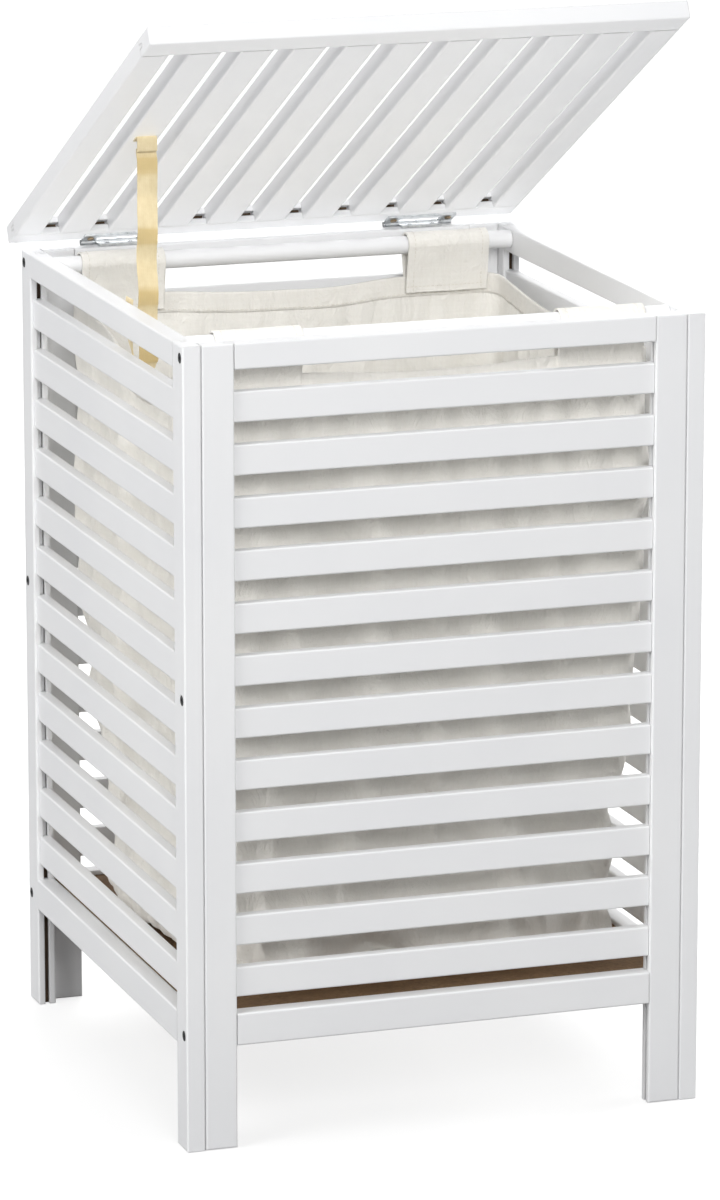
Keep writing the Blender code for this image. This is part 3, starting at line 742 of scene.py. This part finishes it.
def tab_path(side):
    """Centre line of a tab, in the Y Z plane: out of the wall, over the rod and down inside."""
    y = Y_MID + side * HALF_SPAN
    r = ROD_R + TAB_GAP
    z = (ROD_FRONT.z + ROD_BACK.z) / 2
    path = [(y + side * TAB_GAP, RIM_Z - 0.010), (y + side * 0.0030, RIM_Z)]
    for n in range(9):
        a = math.radians(-25 + n * 230 / 8)
        path.append((y + side * r * math.cos(a), z + r * math.sin(a)))
    path += [(y - side * 0.0052, RIM_Z + 0.004), (y - side * 0.0040, RIM_Z - 0.008), (y - side * 0.0042, 0.592)]
    return smooth_path([(0, a, b) for a, b in path], 4)


def tab_rows(path, centre_x, side):
    """Rows of points across a tab, with a slight ripple where its inner end hangs free."""
    rows = []
    for i, p in enumerate(path):
        row = []
        share = i / (len(path) - 1)
        free = ease((share - 0.62) / 0.3)
        for c in range(TAB_COLUMNS + 1):
            u = c / TAB_COLUMNS * 2 - 1
            x = centre_x + u * TAB_HALF * (1 - 0.02 * math.sin(math.pi * share))
            ripple = 0.0009 * free * wobble((x, p.z, side), 0.020, 4.0 + side)
            row.append(Vector((x, p.y - side * abs(ripple), p.z + 0.0004 * wobble((x, 0, side), 0.03, 2.0))))
        rows.append(row)
    return rows


def tab_seams(rows, side):
    """Lines along a tab's long edges and across its inner end, on the cloth's seen face."""
    inset = 2
    edges = [[row[inset] for row in rows], [row[-1 - inset] for row in rows]]
    round_rod = RIM_Z + 0.006
    centre = Vector((0, Y_MID + side * HALF_SPAN, ROD_BACK.z))
    seams = []
    for line, follows_rod in [(edges[0], True), (edges[1], True), (rows[-5], False), (rows[-12], False)]:
        seam = []
        for p in line:
            if p.z < round_rod:
                seam.append(p + Vector((0, -side * SEAM_LIFT, 0)))
            elif follows_rod:
                out = Vector((0, p.y - centre.y, p.z - centre.z)).normalized()
                seam.append(p + out * SEAM_LIFT)
            else:
                seam.append(p)
        seams.append(seam)
    return seams


def make_bag(cloth, hem_cloth, thread):
    """The liner with its hem, four tabs and stitching."""
    bag = grid_object("liner_bag", bag_rows(), cloth, closed=True)
    close_floor(bag)
    hang_cloth(bag)
    bag.data.update()
    settle(bag, 0.004)
    crumple(bag, RIM_Z - HEM_H)
    settle(bag, 0.0022)
    points = [vert.co.copy() for vert in bag.data.vertices]
    hem_rows = [points[r * BAG_COLUMNS:(r + 1) * BAG_COLUMNS] for r in range(3)]
    refine(bag, 1)
    thicken(bag, CLOTH_T)

    hem = make_hem(hem_rows, hem_cloth)
    pieces = [hem, stitches("liner_hem_stitching", hem_seams(hem_rows), thread, STITCH_PITCH)]
    tabs = []
    for side, along in ((-1, "front"), (1, "back")):
        for across, word in ((-1, "left"), (1, "right")):
            name = f"bag_tab_{along}_{word}"
            path = tab_path(side)
            rows = tab_rows(path, X_MID + across * TAB_X, side)
            tab = grid_object(name, rows, hem_cloth)
            pieces.append(stitches(f"{name}_stitching", tab_seams(rows, side), thread, TAB_STITCH_PITCH))
            refine(tab, 1)
            thicken(tab, TAB_T)
            tabs.append(tab)
    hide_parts("laundry_bag")
    for piece in [bag, *pieces, *tabs]:
        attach(piece, "body")


# ---- strap --------------------------------------------------------------------------------------
def lid_point(across, reach, height):
    """A point on the open lid: reach from its rear edge, height above its underside."""
    y, z = LID_REAR - reach, LID_LIFT + height
    c, s = math.cos(LID_TILT), math.sin(LID_TILT)
    return Vector((across, PIN.y + y * c + z * s, PIN.z - y * s + z * c))


def strap_stations(slat_x, leaves):
    """Points down the strap, each with the direction of its width, from the lid to the side rail."""
    wall = WALL_IN + 0.0009
    back = Y_MID + 0.002
    front = Y_MID - 0.029
    across, along = Vector((1, 0, 0)), Vector((0, 1, 0))
    a = lid_point(slat_x, 0.2405, -0.0010)
    b = lid_point(slat_x, 0.2475, -0.0011)
    under_lid = [a, a.lerp(b, 0.5), b, leaves]
    hanging = [
        (slat_x, leaves.y - 0.0002, leaves.z - 0.010),
        (slat_x + 0.0004, back + 0.0035, 0.752),
        (slat_x + 0.0008, back + 0.001, 0.720),
        (slat_x - 0.0004, back, 0.680),
        (slat_x, back, 0.640),
        (slat_x, back, 0.606),
    ]
    loop = [
        ((slat_x - 0.001, back - 0.002, 0.588), across + 0.1 * along),
        ((slat_x - 0.005, back - 0.007, 0.5765), across + 0.4 * along),
        ((slat_x - 0.012, back - 0.015, 0.5765), across + along),
        ((wall + 0.007, front + 0.006, 0.587), 0.5 * across + along),
        ((wall + 0.001, front, 0.610), 0.1 * across + along),
        ((wall, front, 0.632), along),
        ((wall + 0.0012, front, 0.6425), along),
    ]
    return [(p, across) for p in under_lid + hanging] + loop


def make_strap(material):
    """The slack webbing stay, creased where it was once folded."""
    slat_x = sum(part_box("lid_slat_1"), Vector()).x / 2
    c = lid_point(slat_x, 0.2505, -0.0026)
    stations = strap_stations(slat_x, c)
    centres = smooth_path([p for p, _ in stations], STRAP_STEPS)
    turns = smooth_path([d.normalized() for _, d in stations], STRAP_STEPS)
    half = STRAP_HALF
    run = 0.0
    rows, fold_shade_levels, runs = [], [], []
    for i, (p, d) in enumerate(zip(centres, turns)):
        if i:
            run += (p - centres[i - 1]).length
        d = d.normalized()
        ahead = centres[min(i + 1, len(centres) - 1)] - centres[max(i - 1, 0)]
        normal = d.cross(ahead).normalized()
        near = min(range(len(FOLDS)), key=lambda n: abs(FOLDS[n] - run))
        gap = run - FOLDS[near]
        free = ease((run - 0.026) / 0.01) * ease((0.225 - run) / 0.02)
        sign = 1 if near % 2 else -1
        kink = sign * FOLD_KINK * free * max(0.0, 1 - abs(gap) / 0.013)
        # painted shade on the face just past every other fold
        fold_shade_level = 0.0
        if near % 2 == 0 and free > 0:
            fold_shade_level = ease((0.0085 - abs(gap - 0.004)) / 0.0035)
        sway = 0.0007 * free * wobble((0, 0, run), 0.03, 6.0)
        width = half * (1 + 0.02 * wobble((run, 0, 0), 0.018, 9.0))
        row = []
        for column in range(STRAP_COLUMNS + 1):
            u = column / STRAP_COLUMNS * 2 - 1
            cup = 0.0005 * free * (u * u) * sign
            skew = 0.0008 * u * sign * free * max(0.0, 1 - abs(gap) / 0.01)
            row.append(p + d * (u * width + sway) + normal * (kink + cup) + Vector((0, 0, skew)))
        rows.append(row)
        fold_shade_levels.append(fold_shade_level)
        runs.append(run)
    strap = grid_object("webbing_strap", rows, material)
    names = ("fold_mark", "tape_length", "tape_width")
    layers = [strap.data.attributes.new(name, "FLOAT", "POINT") for name in names]
    for i in range(len(rows)):
        for column in range(STRAP_COLUMNS + 1):
            index = i * (STRAP_COLUMNS + 1) + column
            values = (fold_shade_levels[i], runs[i], (column / STRAP_COLUMNS) * 2 * half)
            for layer, value in zip(layers, values):
                layer.data[index].value = value
    thicken(strap, STRAP_T)
    apply_modifiers(strap)
    strap.data.shade_smooth()
    strap.data.set_sharp_from_angle(angle=math.radians(50))
    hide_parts("stay_strap")
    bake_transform(strap)


# ---- screws -------------------------------------------------------------------------------------
def screw_head(name, place, radius, height, material, dark, body):
    """A domed head with a black cross standing up through it as painted shade of its recess; local Z points out
    of the surface.
    """
    bm = bmesh.new()
    profile = [
        (0.0, height),
        (radius * 0.45, height * 0.96),
        (radius * 0.8, height * 0.7),
        (radius, height * 0.2),
        (radius, -0.0004),
    ]
    verts = [bm.verts.new((r, 0, z)) for r, z in profile]
    edges = [bm.edges.new(pair) for pair in zip(verts, verts[1:])]
    bmesh.ops.spin(bm, geom=verts + edges, cent=(0, 0, 0), axis=(0, 0, 1), angle=2 * math.pi, steps=28)
    bmesh.ops.remove_doubles(bm, verts=bm.verts, dist=1e-6)
    bmesh.ops.recalc_face_normals(bm, faces=bm.faces)
    head = new_object(name, keep_mesh(name, bm, smooth=True), material)
    head.matrix_world = place
    # the recess is not cut: black steel boxes stand up through the dome as painted shade of the hollow
    cross = bmesh.new()
    for turn in (0.0, math.pi / 2):
        spin = Matrix.Rotation(turn + 0.4, 4, "Z")
        shape = Matrix.Diagonal((radius * 1.15, radius * 0.22, height * 0.30, 1))
        bmesh.ops.create_cube(cross, size=1.0, matrix=Matrix.Translation((0, 0, height * 0.90)) @ spin @ shape)
    recess = new_object(name + "_recess", keep_mesh(name + "_recess", cross), dark)
    recess.matrix_world = place
    for piece in (head, recess):
        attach(piece, body)


def make_leaf_screws(mats):
    """The two screws in each hinge's inner leaf, on the edge of the back rail."""
    radius, height = 0.0027, 0.0008
    from_back, above_rail = 0.0055, 0.0020
    for word in ("left", "right"):
        low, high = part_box(f"hinge_{word}_inner_leaf")
        middle = (low.x + high.x) / 2
        for n, shift in enumerate((-0.010, 0.010)):
            place = Matrix.Translation((middle + shift, BACK_HIGH.y - from_back, TOP + above_rail))
            name = f"leaf_screw_{word}_{n + 1}"
            screw_head(name, place, radius, height, mats["zinc"], mats["steel"], "body")


# ---- grooves ------------------------------------------------------------------------------------
def gap_levels():
    """Lowest and highest z of each stretch of a stile's groove that no slat or rail fills."""
    low, high = LEFT_LOW.z, LEFT_HIGH.z
    pitch = (high - low - SLAT_H) / (SLATS - 1)
    floors = [low + n * pitch for n in range(SLATS)]
    tops = [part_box("left_rail_bottom")[1].z] + [z + SLAT_H for z in floors]
    ends = floors + [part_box("left_rail_top")[0].z]
    return [(0.0002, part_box("left_rail_bottom")[0].z)] + list(zip(tops, ends))


def strips(name, spans, material, body, place=None):
    """Thin strips between pairs of corners, one object."""
    bm = bmesh.new()
    for low, high in spans:
        add_box(bm, low, high)
    if place is not None:
        bm.transform(place)
    obj = new_object(name, keep_mesh(name, bm), material)
    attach(obj, body)


def line_stile_grooves(material):
    """Bare wood at the bottom of each stile's groove, where the slats leave it open, darkened as painted shade
    of the groove.
    """
    clear = 0.0001
    half = GROOVE_W / 2 - clear
    for side in ("front", "back", "left", "right"):
        axis = 0 if side in ("front", "back") else 1
        words = ("left", "right") if axis == 0 else ("front", "back")
        for word, sign in zip(words, (1, -1)):
            low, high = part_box(f"{side}_stile_{word}")
            middle = (low + high) / 2
            mouth = high[axis] if sign > 0 else low[axis]
            near, far = mouth - sign * (GROOVE_SEEN - GROOVE_SHADE_HIGH), mouth - sign * (GROOVE_SEEN - GROOVE_SHADE_LOW)
            spans = []
            for bottom, top in gap_levels():
                a, b = Vector((0, 0, bottom + clear)), Vector((0, 0, top - clear))
                a[axis], b[axis] = min(near, far), max(near, far)
                a[1 - axis], b[1 - axis] = middle[1 - axis] - half, middle[1 - axis] + half
                spans.append((a, b))
            strips(f"groove_{side}_{word}", spans, material, "body")


def line_lid_grooves(material):
    """The same bare wood in painted shade, in the lid's two rails, between its slats."""
    edges = [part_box("lid_stile_left")[1].x]
    for n in range(1, LID_SLATS + 1):
        low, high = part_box(f"lid_slat_{n}")
        edges += [low.x, high.x]
    edges.append(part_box("lid_stile_right")[0].x)
    place = Matrix.Translation(PIN) @ Matrix.Rotation(-LID_TILT, 4, "X")
    level = LID_LIFT + LID_T / 2
    half, inset, depth, thickness = 0.0010, 0.002, 0.0020, 0.0004
    rails = (("rear", LID_REAR - LID_REAR_RAIL, 1), ("front", LID_REAR - LID_LENGTH + LID_FRONT_RAIL, -1))
    for word, mouth, sign in rails:
        y = mouth + sign * depth
        spans = []
        for start, end in zip(edges[::2], edges[1::2]):
            spans.append(((start + inset, y, level - half), (end - inset, y + thickness, level + half)))
        strips(f"groove_lid_{word}", spans, material, "lid", place)


# ---- scene --------------------------------------------------------------------------------------
def dress_frame(mats):
    """Give each carried CAD node its finish, with the grain along the stick."""
    for name, obj in NODES.items():
        if name.startswith(("lid_rail", "rod_")):
            mat = mats["wood_x"]
        elif name.startswith("lid_"):
            mat = mats["wood_lid"]
        elif "_stile_" in name:
            mat = mats["wood_z"]
        elif name.startswith(("front_", "back_")):
            mat = mats["wood_x"]
        elif name.startswith(("left_", "right_")):
            mat = mats["wood_y"]
        elif name == "base_board":
            mat = mats["board"]
        elif name.startswith("screw_"):
            mat = mats["steel"]
        elif name.startswith("hinge_screw"):
            mat = mats["brown"]
        else:
            mat = mats["zinc"]
        obj.data.materials.clear()
        obj.data.materials.append(mat)


def light_alone(source, pieces, unshaded=False):
    """Let a light or a glowing piece reach these pieces only, past all the rest if unshaded."""
    lit = bpy.data.collections.new(source.name + "_lights")
    for piece in pieces:
        lit.objects.link(piece)
    source.light_linking.receiver_collection = lit
    if unshaded:
        source.light_linking.blocker_collection = lit
    if source.type == "LIGHT":
        source.visible_glossy = False


def make_floor():
    """Pale paper that glows towards white further out, and lights nothing but itself."""
    bpy.ops.mesh.primitive_plane_add(size=FLOOR_SIZE, location=(0, 0, -0.0005))
    floor = bpy.context.object
    floor.name = "studio_floor"
    g = Graph("floor_paper")
    tone = g.noise(g.place((3, 3, 3)), detail=2.0)
    colour = g.ramp(tone, (0.3, (0.22, 0.22, 0.22)), (0.7, (0.24, 0.24, 0.24)))
    g.finish(colour, g.spread(tone, 0.85, 0.9), g.bump(tone, 0.02, 0.001))
    away = g.vector_math("LENGTH", g.place((1, 1, 1)))
    glow = g.ramp(away, (FLOOR_NEAR, (FLOOR_GLOW,) * 3), (FLOOR_FAR, WHITE))
    g.set(g.shader, Emission_Color=glow, Emission_Strength=1.0)
    floor.data.materials.append(g.mat)
    light_alone(floor, [floor])


def area_light(name, place, aim, size, power):
    light = bpy.data.lights.new(name, "AREA")
    light.shape = "DISK"
    light.size = size
    light.energy = power
    obj = bpy.data.objects.new(name, light)
    obj.location = place
    obj.rotation_euler = (Vector(aim) - Vector(place)).to_track_quat("-Z", "Y").to_euler()
    obj.visible_camera = False
    bpy.context.scene.collection.objects.link(obj)
    return obj


def make_surroundings():
    """A white room: full white to the camera and in reflections, faint as a light."""
    world = bpy.data.worlds.new("studio")
    bpy.context.scene.world = world
    world.use_nodes = True
    nodes, links = world.node_tree.nodes, world.node_tree.links
    soft = nodes["Background"]
    soft.inputs["Color"].default_value = (0.985, 0.99, 1.0, 1)
    soft.inputs["Strength"].default_value = WORLD_SOFT
    seen = nodes.new("ShaderNodeBackground")
    seen.inputs["Color"].default_value = (1, 1, 1, 1)
    seen.inputs["Strength"].default_value = 1.0
    path = nodes.new("ShaderNodeLightPath")
    mix = nodes.new("ShaderNodeMixShader")
    direct = nodes.new("ShaderNodeMath")
    direct.operation = "MAXIMUM"
    links.new(path.outputs["Is Camera Ray"], direct.inputs[0])
    links.new(path.outputs["Is Glossy Ray"], direct.inputs[1])
    links.new(direct.outputs["Value"], mix.inputs["Fac"])
    links.new(soft.outputs["Background"], mix.inputs[1])
    links.new(seen.outputs["Background"], mix.inputs[2])
    links.new(mix.outputs["Shader"], nodes["World Output"].inputs["Surface"])


def make_light():
    """Soft light from all round, with cards that lift the inside and the lid's underside."""
    make_surroundings()
    for light in LIGHTS:
        area_light(*light)
    for name, place, aim, size, power, starts, unshaded in CARDS:
        pieces = [o for o in bpy.context.scene.objects if o.name.startswith(starts)]
        light_alone(area_light(name, place, aim, size, power), pieces, unshaded)


def make_camera():
    cam = bpy.data.cameras.new("camera")
    cam.sensor_fit = "VERTICAL"
    cam.sensor_height = SENSOR
    cam.lens = LENS
    obj = bpy.data.objects.new("camera", cam)
    obj.location = CAMERA_PLACE
    level = math.cos(CAMERA_DOWN)
    ahead = Vector((math.sin(CAMERA_AZIMUTH) * level, math.cos(CAMERA_AZIMUTH) * level, -math.sin(CAMERA_DOWN)))
    obj.rotation_euler = ahead.to_track_quat("-Z", "Y").to_euler()
    bpy.context.scene.collection.objects.link(obj)
    bpy.context.scene.camera = obj


def make_materials():
    """The finishes of the CAD nodes."""
    even, brushed = (300, 300, 300), (60, 900, 900)
    return {
        "wood_x": painted_wood("white_paint_x", "x"),
        "wood_y": painted_wood("white_paint_y", "y"),
        "wood_z": painted_wood("white_paint_z", "z"),
        "wood_lid": painted_wood("white_paint_lid", "y", LID_TILT, 0.0026),
        "board": hardboard("brown_hardboard"),
        "steel": metal("black_screw_steel", STEEL_LIGHT, STEEL_DARK, 0.42, even),
        "brown": metal("bronzed_screw", BRONZE_LIGHT, BRONZE_DARK, 0.40, even),
        "zinc": metal("zinc_plate", ZINC_LIGHT, ZINC_DARK, 0.30, brushed),
    }


def main():
    bpy.context.scene.view_settings.view_transform = "Standard"
    make_camera()
    mats = make_materials()
    dress_frame(mats)
    liner_cloth = cotton("liner_cotton", COTTON, COTTON_DEEP)
    hem_cloth = cotton("hem_cotton", HEM, HEM_DEEP)
    make_bag(liner_cloth, hem_cloth, thread_finish("sewing_thread"))
    make_strap(webbing("golden_webbing"))
    make_leaf_screws(mats)
    # bare wood darkened as painted shade of the grooves
    groove_shade_wood = bare_wood_in_shade("bare_wood_in_groove")
    line_stile_grooves(groove_shade_wood)
    line_lid_grooves(groove_shade_wood)
    make_floor()
    make_light()


main()
